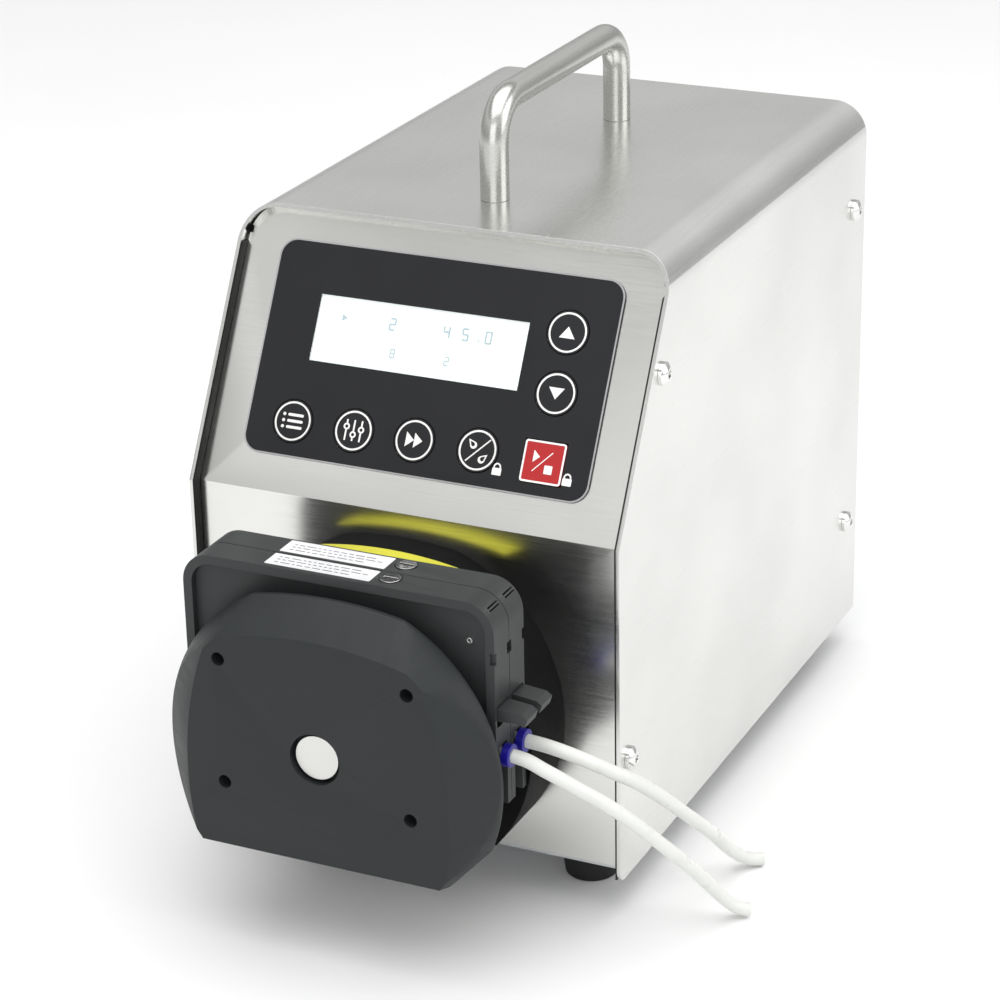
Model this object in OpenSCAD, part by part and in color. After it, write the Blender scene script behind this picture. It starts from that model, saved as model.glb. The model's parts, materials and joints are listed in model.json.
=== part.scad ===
// Bench peristaltic pump: a sheet-steel drive with a sloped keypad, and a two-cartridge pump head.
// The axes are +X right, the front towards -Y and +Z up, with the origin on the bench under the middle.

/* [Housing] */
// Width over the cover's two sides
body_w = 150; // [130:1:180]
// Depth of the cover, front edge to rear edge
body_d = 226; // [200:1:260]
// Height of the cover, bottom edge to top face
body_h = 196; // [180:1:220]
// Clearance under the cover's bottom edge
cover_lift = 12; // [8:1:20]
// Height on the cover where the front starts to slope back
crease_h = 115; // [105:1:125]
// How far the top front edge stands behind the bottom front edge
slope_set = 45.5; // [35:0.5:60]
// Outside radius of the cover's two top bends
cover_bend = 12; // [6:1:20]
// Thickness of the cover sheet
cover_t = 1.2; // [1:0.1:2]
// How far the front panel lies behind the cover's front edge
recess = 3.5; // [2:0.5:6]
// Thickness of the panels and the tray
panel_t = 1.5; // [1.2:0.1:2]

/* [Handle and feet] */
// Diameter of the handle's bar
handle_d = 9.5; // [8:0.5:12]
// Height of the bar's centreline above the top face
handle_rise = 31.4; // [28:0.1:40]
// Front leg of the handle, behind the cover's front edge
handle_front = 75.5; // [65:0.5:90]
// Rear leg of the handle, behind the cover's front edge
handle_rear = 176; // [150:0.5:190]
// Diameter of a rubber foot at its top
foot_d = 20; // [16:1:24]

/* [Keypad] */
// Width of the keypad overlay
pad_w = 120.4; // [110:0.1:130]
// Distance up the slope from the crease to the overlay's lower edge
pad_low = 11.7; // [8:0.1:15]
// Distance up the slope from the crease to the overlay's upper edge
pad_high = 82; // [75:0.5:86]
// Diameter of a round key
key_d = 13.8; // [12:0.1:15]

/* [Pump head] */
// Height of the rotor's axis above the bench
axis_z = 70; // [66:1:80]
// Front face of the head, ahead of the cover's front edge
head_reach = 60; // [56:1:66]
// Half-width of a cartridge
cart_half = 53; // [50:0.5:56]
// Top of a cartridge above the rotor's axis
cart_top = 53.5; // [50:0.5:56]
// Width of one cartridge along the rotor's axis
cart_w = 10.3; // [9.5:0.1:11]
// Radius of the circle that the rollers' centres run on
orbit_r = 22.5; // [20:0.5:24]
// Radius of a roller
roller_r = 4.5; // [4:0.1:5]

/* [Tubing] */
// Outside diameter of the pump tubing
tube_d = 4.4; // [3.4:0.1:4.8]
// Thickness of the tubing where the rollers press it
squeeze_t = 2.2; // [1.8:0.1:2.6]

/* [Hidden] */
$fn = 48;
fit = 0.3;
run_fit = 0.05;

// Housing
rear_reach = 228;
shell_front = -(rear_reach - head_reach) / 2;
cover_z0 = cover_lift;
cover_z1 = cover_lift + body_h;
crease_z = cover_lift + crease_h;
lean = atan(slope_set / (body_h - crease_h));
tray_z = 14.5;
panel_z0 = tray_z + panel_t;
panel_z1 = cover_z1 - cover_t - fit;
panel_half = body_w / 2 - 2;
rear_face = body_d - 2;
flange = 12;
// Side screws: distance behind the front edge, and height above the bench
side_screws = [[7.5, 53.7], [34, 173], [214, 172], [213.5, 52]];
side_screw_d = 4;
feet = [[-54.5, 24.5], [54.5, 24.5], [-54.5, 201.5], [54.5, 201.5]];
foot_hole_d = 4.2;
handle_hole_d = 4.2;

// Keypad, in the sloped panel's own axes: X right, Y up the slope, Z out of the panel
overlay_t = 0.8;
pad_corner = 6;
window = [[-42.5, 43.5], [30.5, 65.2]];
key_row = 23.3;
up_key = [43.7, 63.7];
down_key = [43.7, 44.4];
round_keys = [up_key, down_key, [-43.8, key_row], [-22, key_row], [-0.6, key_row], [21.4, key_row]];
start_key = [43.8, key_row - 0.6];
start_size = [13.8, 13.2];
key_proud = 0.15;
key_skirt = 0.4;
stem_d = 4;
board_gap = 5;
board_studs = [[-54, 15], [54, 15], [-54, 78], [54, 78]];

// Rear panel fittings: x, and height above the bench
inlet_at = [-38, 52];
switch_at = [-38, 92];
port_at = [30, 56];
rocker_y = -6;
rocker_tilt = 8;

// Pump head, in axes from the rotor's axis
cover_front = -head_reach;
cover_back = -46.8;
bevel_back = -48.2;
body_front = -21.8;
cart_front = -43;
cart_pitch = cart_w + fit;
cart_wall = 3;
channel_mid = cart_w / 2;
outline_drop = 5;
rim_r = 57;
face_r = 51.5;
side_r = 132.5;
side_bevel = 12.5;
side_shift = 75;
side_drop = 12;
crown_r = 130;
crown_top = 48.5;
face_top = 39.5;
cover_floor = -36;
cover_corner = 43;
cover_screw_r = 2.2;
rods = [[-32, 28], [32, 28], [-32, -14], [32, -14]];
rod_r = 3;
tip_r = orbit_r + roller_r;
pin_r = 1.5;
shaft_r = 4;
bearing_r = 8;
roller_front = -43.8;
roller_back = -21.7;
run_r = tip_r + 0.2 + squeeze_t / 2;
bed_r = run_r + squeeze_t / 2 + 0.2;
wrap_from = 50;
exit_h = 2.3;
stop_x = cart_half + 0.3;
stop_l = 2.8;
stop_r = 3.7;
adjuster_x = 16;
adjuster_y = 6.3;
adjuster_r = 2.6;
shank_r = 1.5;
tab_pivot = [51.5, 18];

// Gears: teeth of module 1
pinion_teeth = 14;
gear_teeth = 42;
gear_gap = (pinion_teeth + gear_teeth) / 2 + 0.15;
gear_y = [14, 22];
motor_r = 25;

// Centrelines of the two free tails, from the stops to the bench
tail_front = [
    [56.1, -121.85, 72.3], [61, -121.8, 71.5], [66, -121, 69], [71, -120, 66.5], [76, -118, 63],
    [81, -115, 59], [86, -110, 53], [90.5, -105, 46.5], [94.5, -99, 39], [98, -92, 31],
    [101, -85, 23], [103.5, -79, 15.5], [106, -74.3, 9.3], [108.3, -71, 5.2], [110.5, -68.7, 3.1],
    [112.5, -67.3, 2.4]
];
tail_rear = [
    [56.1, -111.25, 72.3], [61.5, -111.2, 71.9], [67, -110.8, 70.9], [72, -109.8, 69.3], [77, -108, 67],
    [82, -104, 63], [86, -98, 58], [89.5, -91, 51.5], [92, -83, 44], [94, -75, 36.5],
    [95.5, -66, 28.5], [96.5, -57, 20.5], [97, -49, 13], [98.5, -43.5, 7.5], [100.5, -39.5, 4.2],
    [102.8, -36.8, 2.7], [105, -35, 2.35]
];

// A point on the front's profile, set back from the cover's front edge by d
function crease_at(d) = [d, crease_z - d * tan(lean / 2)];
function slope_at(d, z) = crease_at(d) + (z - crease_at(d)[1]) * [tan(lean), 1];

module in_shell() { translate([0, shell_front, 0]) children(); }
module in_head() { translate([0, shell_front, axis_z]) children(); }
module on_slope() {
    translate([0, shell_front + crease_at(recess)[0], crease_at(recess)[1]])
        rotate([90 - lean, 0, 0]) children();
}

// Extrudes an outline drawn as (x, z) from y0 to y1
module plate_y(y0, y1) { translate([0, y1, 0]) rotate([90, 0, 0]) linear_extrude(y1 - y0) children(); }
// Extrudes an outline drawn as (y, z) from x0 to x1
module plate_x(x0, x1) { translate([x0, 0, 0]) rotate([90, 0, 90]) linear_extrude(x1 - x0) children(); }
module rod_y(at, r, y0, y1) { translate([at[0], y1, at[1]]) rotate([90, 0, 0]) cylinder(h = y1 - y0, r = r); }
module rod_x(at, r, x0, x1) { translate([x0, at[0], at[1]]) rotate([0, 90, 0]) cylinder(h = x1 - x0, r = r); }
module box(low, high) { translate(low) cube(high - low); }

module rounded_rect(low, high, r) {
    translate([low[0] + r, low[1]]) square([high[0] - low[0] - 2 * r, high[1] - low[1]]);
    translate([low[0], low[1] + r]) square([high[0] - low[0], high[1] - low[1] - 2 * r]);
    for (x = [low[0] + r, high[0] - r], y = [low[1] + r, high[1] - r])
        translate([x, y]) circle(r);
}

// Upside-down U of the cover's section, drawn as (x, z)
module arch(half, top, r) {
    translate([-half, 0]) square([2 * half, top - r]);
    translate([r - half, 0]) square([2 * (half - r), top]);
    for (s = [-1, 1]) translate([s * (half - r), top - r]) circle(r);
}

// Side view of the cover, drawn as (y, z)
module side_view() {
    nose = 4;
    difference() {
        polygon([
            [0, cover_z0], [0, crease_z], [slope_set, cover_z1], [body_d, cover_z1], [body_d, cover_z0]
        ]);
        difference() {
            translate([-1, cover_z0 - 1]) square(nose + 1);
            translate([nose, cover_z0 + nose]) circle(nose);
        }
    }
}

// A strip that follows the front's profile between two set-backs, drawn as (y, z)
module front_strip(d0, d1, z0, z1) {
    polygon([
        [d0, z0], crease_at(d0), slope_at(d0, z1), slope_at(d1, z1), crease_at(d1), [d1, z0]
    ]);
}

module top_cover() {
    color("gainsboro") in_shell() difference() {
        intersection() {
            plate_y(0, body_d) difference() {
                arch(body_w / 2, cover_z1, cover_bend);
                translate([0, -1]) arch(body_w / 2 - cover_t, cover_z1 - cover_t + 1, cover_bend - cover_t);
            }
            plate_x(-body_w, body_w) side_view();
        }
        for (at = side_screws) rod_x(at, side_screw_d / 2 + 0.2, -body_w, body_w);
        for (y = [handle_front, handle_rear])
            translate([0, y, cover_z1 - 5]) cylinder(h = 10, d = handle_hole_d + 0.4);
    }
}

// Space under the cover, which rounds the panels' top corners
module under_cover() { plate_y(-1, body_d + 1) arch(panel_half, panel_z1, cover_bend - 2); }

// Holes of the keys, shared by the front panel and the overlay
module key_holes(gap) {
    for (at = round_keys) translate(at) circle(key_d / 2 + gap);
    translate(start_key - start_size / 2 - [gap, gap]) square(start_size + 2 * [gap, gap]);
}

module front_panel() {
    d1 = recess + panel_t;
    lip_y = slope_at(recess, panel_z1)[0];
    color("lightgray") {
        in_shell() difference() {
            intersection() {
                union() {
                    plate_x(-panel_half, panel_half) front_strip(recess, d1, panel_z0, panel_z1);
                    for (x = [-panel_half, panel_half - panel_t])
                        plate_x(x, x + panel_t) front_strip(recess, recess + flange, 30, 190);
                    box([-panel_half, recess, panel_z0], [panel_half, recess + flange, panel_z0 + panel_t]);
                    box([-panel_half, lip_y, panel_z1 - panel_t], [panel_half, lip_y + flange, panel_z1]);
                }
                under_cover();
            }
            for (at = side_screws) rod_x(at, side_screw_d / 2 + 0.1, -body_w, body_w);
            translate([0, 0, axis_z]) rod_y([0, 0], 13, 0, 10);
            translate([0, 0, axis_z]) for (x = [-20, 20], z = [-20, 20]) rod_y([x, z], 2.1, 0, 10);
            translate([0, -shell_front, 0]) on_slope() {
                translate([0, 0, -2 * panel_t]) linear_extrude(3 * panel_t) {
                    key_holes(0.3);
                    translate(window[0] - [0.6, 0.6]) square(window[1] - window[0] + [1.2, 1.2]);
                }
                for (s = [-1, 1])
                    translate([s * panel_half, 83.2, 0]) cube([2.4, 2.4, 4 * panel_t], center = true);
            }
        }
        on_slope() for (at = board_studs)
            translate([at[0], at[1], -board_gap]) cylinder(h = board_gap - panel_t + 0.1, r = 2.4);
    }
}

module rear_panel() {
    y0 = rear_face - panel_t;
    color("lightgray") in_shell() difference() {
        intersection() {
            union() {
                box([-panel_half, y0, panel_z0], [panel_half, rear_face, panel_z1]);
                for (x = [-panel_half, panel_half - panel_t])
                    box([x, rear_face - 16, 30], [x + panel_t, rear_face, 190]);
                box([-panel_half, rear_face - flange, panel_z0], [panel_half, rear_face, panel_z0 + panel_t]);
                box([-panel_half, rear_face - flange, panel_z1 - panel_t], [panel_half, rear_face, panel_z1]);
            }
            under_cover();
        }
        for (at = side_screws) rod_x(at, side_screw_d / 2 + 0.1, -body_w, body_w);
        plate_y(y0 - 5, rear_face + 5) {
            translate(inlet_at) square([28.6, 32.6], center = true);
            translate(switch_at) square([21.4, 13.6], center = true);
            translate(port_at) square([22, 11], center = true);
            for (s = [-1, 1]) translate(port_at + [s * 16.7, 0]) circle(1.8);
            for (x = [-48:16:48], z = [130:12:190]) translate([x, z]) square([11, 3], center = true);
        }
    }
}

module chassis_tray() {
    color("silver") in_shell() difference() {
        union() {
            box([-panel_half, recess + 1, tray_z], [panel_half, rear_face - 1, panel_z0]);
            for (x = [-panel_half, panel_half - panel_t])
                box([x, 20, tray_z], [x + panel_t, 205, tray_z + 14]);
        }
        for (at = feet) translate([at[0], at[1], tray_z - 1]) cylinder(h = 5, d = foot_hole_d);
        for (x = [-30:15:30], y = [130:12:180])
            translate([x, y, tray_z + 1]) cube([10, 4, 6], center = true);
    }
}

module carry_handle() {
    bend = 13;
    bar_z = cover_z1 + handle_rise;
    color("whitesmoke") in_shell() difference() {
        union() {
            for (y = [handle_front, handle_rear])
                translate([0, y, cover_z1]) cylinder(h = handle_rise - bend, d = handle_d);
            rod_y([0, bar_z], handle_d / 2, handle_front + bend, handle_rear - bend);
            translate([0, handle_front + bend, bar_z - bend]) rotate([0, -90, 0])
                rotate_extrude(angle = -90) translate([bend, 0]) circle(d = handle_d);
            translate([0, handle_rear - bend, bar_z - bend]) rotate([0, -90, 0])
                rotate_extrude(angle = 90) translate([bend, 0]) circle(d = handle_d);
        }
        for (y = [handle_front, handle_rear])
            translate([0, y, cover_z1 - 1]) cylinder(h = 14, d = handle_hole_d);
    }
}

module handle_screws() {
    color("silver") in_shell() for (y = [handle_front, handle_rear]) {
        translate([0, y, cover_z1 - cover_t - 2.8]) difference() {
            cylinder(h = 2.8, d = 9);
            translate([0, 0, -1]) cylinder(h = 2.5, d = 4, $fn = 6);
        }
        translate([0, y, cover_z1 - cover_t - 0.1]) cylinder(h = 11, d = handle_hole_d - 0.2);
    }
}

// Domed screw along +X whose head rests on x = 0
module dome_screw() {
    rotate([0, 90, 0]) {
        difference() {
            rotate_extrude() intersection() {
                translate([0, -2.2]) circle(5.1);
                square([3.8, 3]);
            }
            translate([0, 0, 1.4]) cylinder(h = 3, d = 2.9, $fn = 6);
        }
        translate([0, 0, -5]) cylinder(h = 5.1, d = side_screw_d);
    }
}

module cover_screws() {
    color("white") in_shell() for (at = side_screws) {
        translate([body_w / 2, at[0], at[1]]) dome_screw();
        translate([-body_w / 2, at[0], at[1]]) mirror([1, 0, 0]) dome_screw();
    }
}

module rubber_feet() {
    color([0.06, 0.06, 0.06]) in_shell() for (at = feet) translate([at[0], at[1], 0]) difference() {
        union() {
            cylinder(h = tray_z - 4, d1 = foot_d - 3, d2 = foot_d);
            translate([0, 0, tray_z - 4]) cylinder(h = 4, d = foot_d);
        }
        translate([0, 0, -1]) cylinder(h = 7, d = 9.4);
        translate([0, 0, -1]) cylinder(h = 30, d = foot_hole_d);
    }
}

module foot_screws() {
    color("silver") in_shell() for (at = feet) translate([at[0], at[1], 0]) {
        translate([0, 0, 3.6]) cylinder(h = 2.4, d = 7.6);
        translate([0, 0, 5.9]) cylinder(h = 13, d = 4);
        translate([0, 0, panel_z0]) difference() {
            cylinder(h = 3, d = 8, $fn = 6);
            translate([0, 0, -1]) cylinder(h = 5, d = 4);
        }
    }
}

module keypad_overlay() {
    color([0.19, 0.19, 0.2]) on_slope() linear_extrude(overlay_t) difference() {
        rounded_rect([-pad_w / 2, pad_low], [pad_w / 2, pad_high], pad_corner);
        key_holes(0.3);
        translate(window[0]) square(window[1] - window[0]);
    }
}

module display_window() {
    color([0.9, 0.95, 1, 0.4]) on_slope()
        translate([window[0][0] + 0.05, window[0][1] + 0.05, 0.05])
            cube([window[1][0] - window[0][0] - 0.1, window[1][1] - window[0][1] - 0.1, overlay_t - 0.1]);
}

module lcd_module() {
    color("white") on_slope() {
        translate([window[0][0], window[0][1], -2]) cube([73, 21.7, 2]);
        translate([window[0][0] - 2, window[0][1] - 2.5, -board_gap]) cube([77, 26.7, board_gap - 2]);
    }
}

module control_board() {
    color("darkgreen") on_slope() difference() {
        union() {
            translate([-58, 10, -board_gap - 1.6]) cube([116, 72, 1.6]);
            for (at = [[-40, 30], [-12, 50], [18, 30]])
                translate([at[0], at[1], -board_gap - 4]) cube([16, 12, 2.5]);
            translate([30, 66, -board_gap - 10]) cube([24, 8, 8.5]);
        }
        for (at = board_studs) translate([at[0], at[1], -20]) cylinder(h = 30, r = 1.2);
    }
}

module round_key(at) {
    on_slope() translate([at[0], at[1], 0]) {
        translate([0, 0, -key_skirt]) cylinder(h = overlay_t + key_proud + key_skirt, d = key_d);
        translate([0, 0, -3.9]) cylinder(h = 3.6, d = stem_d);
    }
}

module key_up() { color([0.2, 0.2, 0.21]) round_key(round_keys[0]); }
module key_down() { color([0.2, 0.2, 0.21]) round_key(round_keys[1]); }
module key_menu() { color([0.2, 0.2, 0.21]) round_key(round_keys[2]); }
module key_mode() { color([0.2, 0.2, 0.21]) round_key(round_keys[3]); }
module key_fast() { color([0.2, 0.2, 0.21]) round_key(round_keys[4]); }
module key_direction() { color([0.2, 0.2, 0.21]) round_key(round_keys[5]); }

module key_start_stop() {
    color([0.86, 0.2, 0.2]) on_slope() translate([start_key[0], start_key[1], 0]) {
        translate([0, 0, -key_skirt]) linear_extrude(overlay_t + key_proud + key_skirt)
            rounded_rect(-start_size / 2, start_size / 2, 0.9);
        translate([0, 0, -3.9]) cylinder(h = 3.6, d = stem_d);
    }
}

module power_supply() {
    color("silver") in_shell() difference() {
        box([-66, 114, panel_z0], [-6, 194, 52]);
        box([-64.5, 115.5, panel_z0 + 1.5], [-7.5, 192.5, 50.5]);
        for (y = [122:8:186]) box([-70, y, 30], [0, y + 4, 44]);
        box([-58, 184, 20], [-18, 204, 34]);
    }
}

module mains_inlet() {
    color([0.07, 0.07, 0.08]) in_shell() translate([inlet_at[0], rear_face, inlet_at[1]]) difference() {
        union() {
            box([-19, 0, -20], [19, 2.5, 20]);
            box([-14, -22, -16], [14, 0.1, 16]);
        }
        box([-11.5, -16, -13], [11.5, 5, 3]);
        box([-11.5, -15, 6], [11.5, 5, 14]);
        for (x = [-16.8, 16.8]) rod_y([x, 0], 1.6, -5, 5);
    }
    color("gold") in_shell() translate([inlet_at[0], rear_face, inlet_at[1]]) {
        for (x = [-7, 7]) box([x - 1, -16.1, -5.5], [x + 1, -2, -1.5]);
        box([-1, -16.1, -11], [1, -2, -7]);
    }
}

module fuse_drawer() {
    color([0.1, 0.1, 0.11]) in_shell() translate([inlet_at[0], rear_face, inlet_at[1]]) difference() {
        union() {
            box([-11.2, -14.5, 6.3], [11.2, 1, 13.7]);
            box([-4, 0.9, 8.5], [4, 3, 11.5]);
        }
        rod_y([0, 10], 2.6, -13, -1);
    }
}

module switch_frame() {
    color([0.07, 0.07, 0.08]) in_shell() translate([switch_at[0], rear_face, switch_at[1]]) difference() {
        union() {
            box([-12.6, 0, -8.5], [12.6, 1.8, 8.5]);
            box([-10.5, -16, -6.6], [10.5, 0.1, 6.6]);
        }
        box([-8.8, -14, -5], [8.8, 3, 5]);
        translate([0, rocker_y, 0]) cylinder(h = 12.2, r = 1.2 + run_fit, center = true);
    }
}

module power_rocker() {
    color([0.12, 0.12, 0.13]) in_shell() translate([switch_at[0], rear_face + rocker_y, switch_at[1]])
        rotate([0, 0, -rocker_tilt]) {
            translate([0, 0, -4.6]) linear_extrude(9.2)
                polygon([[-7.4, -1], [7.4, -1], [7.4, 7], [0, 5.4], [-7.4, 7]]);
            cylinder(h = 9.2, r = 2.4, center = true);
            cylinder(h = 12, r = 1.2, center = true);
        }
}

module control_port() {
    color("silver") in_shell() translate([port_at[0], rear_face, port_at[1]]) {
        difference() {
            union() {
                box([-20, 0, -6.2], [20, 1, 6.2]);
                box([-10.6, -10, -5.2], [10.6, 3.2, 5.2]);
            }
            box([-9.6, -1, -4.2], [9.6, 5, 4.2]);
        }
        for (x = [-16.7, 16.7]) {
            rod_y([x, 0], 1.7, -6, 1);
            difference() {
                rod_y([x, 0], 2.6, 0.9, 4, $fn = 6);
                rod_y([x, 0], 1.2, 1.5, 5);
            }
        }
        for (i = [0:7]) rod_y([-8.4 + 2.4 * i, 1.4], 0.5, -1.1, 2.2);
        for (i = [0:6]) rod_y([-7.2 + 2.4 * i, -1.4], 0.5, -1.1, 2.2);
    }
}

module motor_housing() {
    color("dimgray") in_head() difference() {
        union() {
            rod_y([0, gear_gap], motor_r, 29.2, 92);
            rod_y([0, gear_gap], motor_r - 2, 91.9, 100);
            rod_y([0, gear_gap], 8, 25.5, 29.3);
        }
        rod_y([0, gear_gap], 2.55, 20, 60);
        for (x = [-17, 17], z = [-17, 17]) rod_y([x, gear_gap + z], 1.7, 20, 38);
    }
}

module motor_bracket() {
    color("silver") in_shell() difference() {
        union() {
            box([-36, 26, panel_z0], [36, 29, axis_z + gear_gap + 30]);
            box([-36, 28.9, panel_z0], [36, 58, panel_z0 + 2.5]);
        }
        rod_y([0, axis_z], 5.3, 20, 35);
        rod_y([0, axis_z + gear_gap], 8.3, 20, 35);
        for (x = [-17, 17], z = [-17, 17]) rod_y([x, axis_z + gear_gap + z], 1.7, 20, 35);
        for (x = [-26, 26]) translate([x, 46, 10]) cylinder(h = 20, r = 2.2);
    }
}

// Outline around both gears, drawn as (x, z) from the rotor's axis
module gear_outline(grow) {
    reach = 23 + grow;
    rounded_rect([-reach, -reach], [reach, gear_gap + 9 + grow], 9);
}

module gear_case() {
    color("gray") in_head() difference() {
        plate_y(10, 25.8) gear_outline(2.5);
        plate_y(12, 27) gear_outline(0.5);
        rod_y([0, 0], 5 + run_fit, 5, 15);
    }
}

// Outline of a spur gear, drawn as (x, z), with a tooth at the top when up is 0 and a gap when it is 0.5
module gear_teeth_outline(teeth, up) {
    pitch_r = teeth / 2;
    circle(pitch_r - 1.2);
    for (i = [0:teeth - 1]) rotate(90 + (i + up) * 360 / teeth)
        polygon([
            [pitch_r - 1.6, -0.85], [pitch_r, -0.6], [pitch_r + 0.8, -0.3],
            [pitch_r + 0.8, 0.3], [pitch_r, 0.6], [pitch_r - 1.6, 0.85]
        ]);
}

module motor_pinion() {
    color("goldenrod") in_head() {
        translate([0, 0, gear_gap]) plate_y(gear_y[0] - 0.5, gear_y[1] + 0.5)
            gear_teeth_outline(pinion_teeth, 0);
        rod_y([0, gear_gap], 2.5, gear_y[1], 58);
    }
}

module output_gear() {
    color("goldenrod") in_head() difference() {
        plate_y(gear_y[0], gear_y[1]) gear_teeth_outline(gear_teeth, 0.5);
        rod_y([0, 0], 5, 10, 30);
        for (a = [0:60:300]) rotate([0, a, 0]) rod_y([12, 0], 3, 10, 30);
    }
}

module drive_shaft() {
    color("silver") in_head() difference() {
        rod_y([0, 0], 5, -4.9, 28.9);
        box([-1.3, -6, -6], [1.3, -0.8, 6]);
    }
}

// Outline of the head's bodies, drawn as (x, z): a wide round with a flatter crown and a flat floor
module head_outline(r, top, low) {
    intersection() {
        translate([0, -outline_drop]) circle(r);
        translate([0, top - crown_r]) circle(crown_r);
        rounded_rect([-60, low], [60, 90], 16);
    }
}

module head_rear_body() {
    color([0.09, 0.09, 0.1]) in_head() difference() {
        plate_y(body_front, recess) head_outline(54.8, 48, -40);
        rod_y([0, 0], 30, body_front - 1, -18.4);
        rod_y([0, 0], 9.5 + run_fit, -20, -11);
        rod_y([0, 0], 6, -12, recess + 1);
        for (at = rods) rod_y(at, 1.6, body_front - 1, -12);
        for (x = [-20, 20], z = [-20, 20]) rod_y([x, z], 1.6, -8, recess + 1);
    }
}

module head_screws() {
    color("silver") in_head() for (x = [-20, 20], z = [-20, 20]) {
        rod_y([x, z], 1.5, -7.5, recess + panel_t + 0.1);
        rod_y([x, z], 3.2, recess + panel_t, recess + panel_t + 2.6);
    }
}

module tie_rods() {
    color("silver") in_head() for (at = rods) difference() {
        union() {
            rod_y(at, rod_r, cover_back, body_front);
            rod_y(at, 1.5, body_front - 0.1, -12.5);
        }
        rod_y(at, 1.6, cover_back - 1, -38);
    }
}

// Cone with its axis at (x, z), which bounds the cover's bevelled edge from the rim to the face
module cover_cone(at, back_r, front_r) {
    translate([at[0], bevel_back, at[1]]) rotate([90, 0, 0])
        cylinder(h = head_reach + bevel_back, r1 = back_r, r2 = front_r);
}

// Half-plane above the cover's flat floor, its two lower corners cut off
module above_floor() {
    polygon([
        [-60, 90], [-60, cover_floor + 60 - cover_corner], [-cover_corner, cover_floor],
        [cover_corner, cover_floor], [60, cover_floor + 60 - cover_corner], [60, 90]
    ]);
}

module head_front_cover() {
    color([0.2, 0.21, 0.22]) in_head() difference() {
        union() {
            plate_y(bevel_back, cover_back) intersection() {
                head_outline(rim_r, crown_top, cover_floor);
                above_floor();
            }
            intersection() {
                cover_cone([0, -outline_drop], rim_r, face_r);
                cover_cone([0, crown_top - crown_r], crown_r, crown_r - crown_top + face_top);
                cover_cone([-side_shift, -side_drop], side_r, side_r - side_bevel);
                cover_cone([side_shift, -side_drop], side_r, side_r - side_bevel);
                plate_y(cover_front - 1, bevel_back) above_floor();
            }
        }
        rod_y([0, 0], 8.5, cover_front - 1, -55.8);
        rod_y([0, 0], 5, cover_front, cover_back);
        rod_y([0, 0], bearing_r + run_fit, -53, cover_back + 1);
        for (at = rods) {
            rod_y(at, cover_screw_r, cover_front - 1, -51);
            rod_y(at, 1.6, cover_front, cover_back + 1);
        }
    }
}

module front_cover_screws() {
    color("dimgray") in_head() for (at = rods) difference() {
        union() {
            rod_y(at, cover_screw_r - 0.2, -56, -51);
            rod_y(at, 1.5, -51.1, -39);
        }
        rod_y(at, 1.1, -57, -53.5, $fn = 6);
    }
}

module bearing(r_out, y0, y1) {
    difference() {
        rod_y([0, 0], r_out, y0, y1);
        rod_y([0, 0], shaft_r + run_fit, y0 - 1, y1 + 1);
        for (y = [y0, y1]) translate([0, y, 0]) rotate([90, 0, 0]) difference() {
            cylinder(h = 0.8, r = r_out - 1.6, center = true);
            cylinder(h = 1, r = shaft_r + 1.3, center = true);
        }
    }
}

module shaft_bearings() {
    color("silver") in_head() {
        bearing(bearing_r, -52.9, cover_back);
        bearing(9.5, -18.2, -11.2);
    }
}

module rotor_shaft() {
    color("whitesmoke") in_head() {
        rod_y([0, 0], shaft_r, -58, -5);
        rod_y([0, 0], 7.25, -58.4, -56.4);
        rod_y([0, 0], 13.5, roller_front - 0.4, roller_back + 0.4);
        box([-1.2, -5.1, -3.5], [1.2, -1, 3.5]);
    }
}

module rotor_disc(y0, y1) {
    difference() {
        rod_y([0, 0], 26, y0, y1);
        rod_y([0, 0], shaft_r, y0 - 1, y1 + 1);
        for (i = [0:5]) rod_y(orbit_r * [cos(90 + 60 * i), sin(90 + 60 * i)], pin_r, y0 - 1, y1 + 1);
    }
}

module rotor_front_disc() { color("silver") in_head() rotor_disc(-46.5, roller_front - 0.4); }
module rotor_rear_disc() { color("silver") in_head() rotor_disc(roller_back + 0.4, -18.8); }

module roller_pins() {
    color("gray") in_head() for (i = [0:5])
        rod_y(orbit_r * [cos(90 + 60 * i), sin(90 + 60 * i)], pin_r, -46.5, -18.8);
}

// One roller on its pin; roller 1 is at the top
module roller(i) {
    color("white") in_head() difference() {
        rod_y(orbit_r * [cos(90 + 60 * i), sin(90 + 60 * i)], roller_r, roller_front, roller_back);
        rod_y(orbit_r * [cos(90 + 60 * i), sin(90 + 60 * i)], pin_r + run_fit, -50, -10);
    }
}

module roller_1() { roller(0); }
module roller_2() { roller(1); }
module roller_3() { roller(2); }
module roller_4() { roller(3); }
module roller_5() { roller(4); }
module roller_6() { roller(5); }

// Cartridge k, 0 in front and 1 behind, drawn from its own front face at y = 0
module in_cartridge(k) { in_head() translate([0, cart_front + k * cart_pitch, 0]) children(); }

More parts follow.
